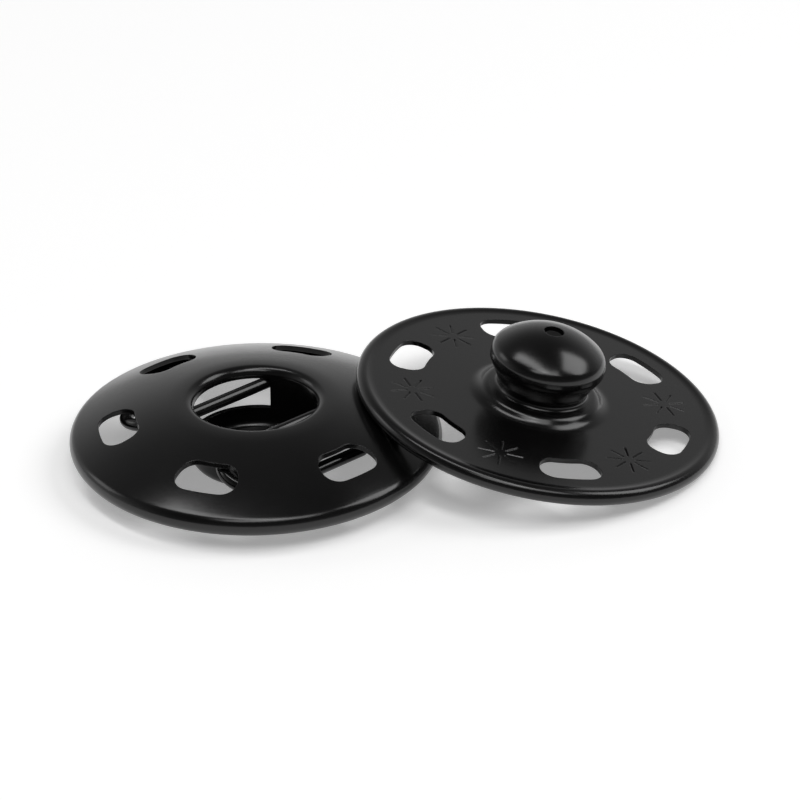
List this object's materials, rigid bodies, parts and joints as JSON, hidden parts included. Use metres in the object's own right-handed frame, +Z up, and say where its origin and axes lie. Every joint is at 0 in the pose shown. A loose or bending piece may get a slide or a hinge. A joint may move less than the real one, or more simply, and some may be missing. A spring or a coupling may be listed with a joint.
{
  "type": "snap fastener",
  "caption": "Large sew-on snap fastener in black metal: a domed socket half with a wire spring, and a ball half leaning on it.",
  "frame": {"origin": "middle of the flat bottom of the socket half's cup, on the table", "axes": "+Z up along the socket half's axis, +X towards the ball half, +Y away from the viewer of the picture"},
  "size_m": [0.0526, 0.0334, 0.0099],
  "materials": {
    "black_lacquer": "satin",
    "black_wire": "satin"
  },
  "bodies": {
    "root": {"socket_plate": "black_lacquer", "spring_wire": "black_wire", "ball_plate": "black_lacquer"}
  },
  "joints": []
}
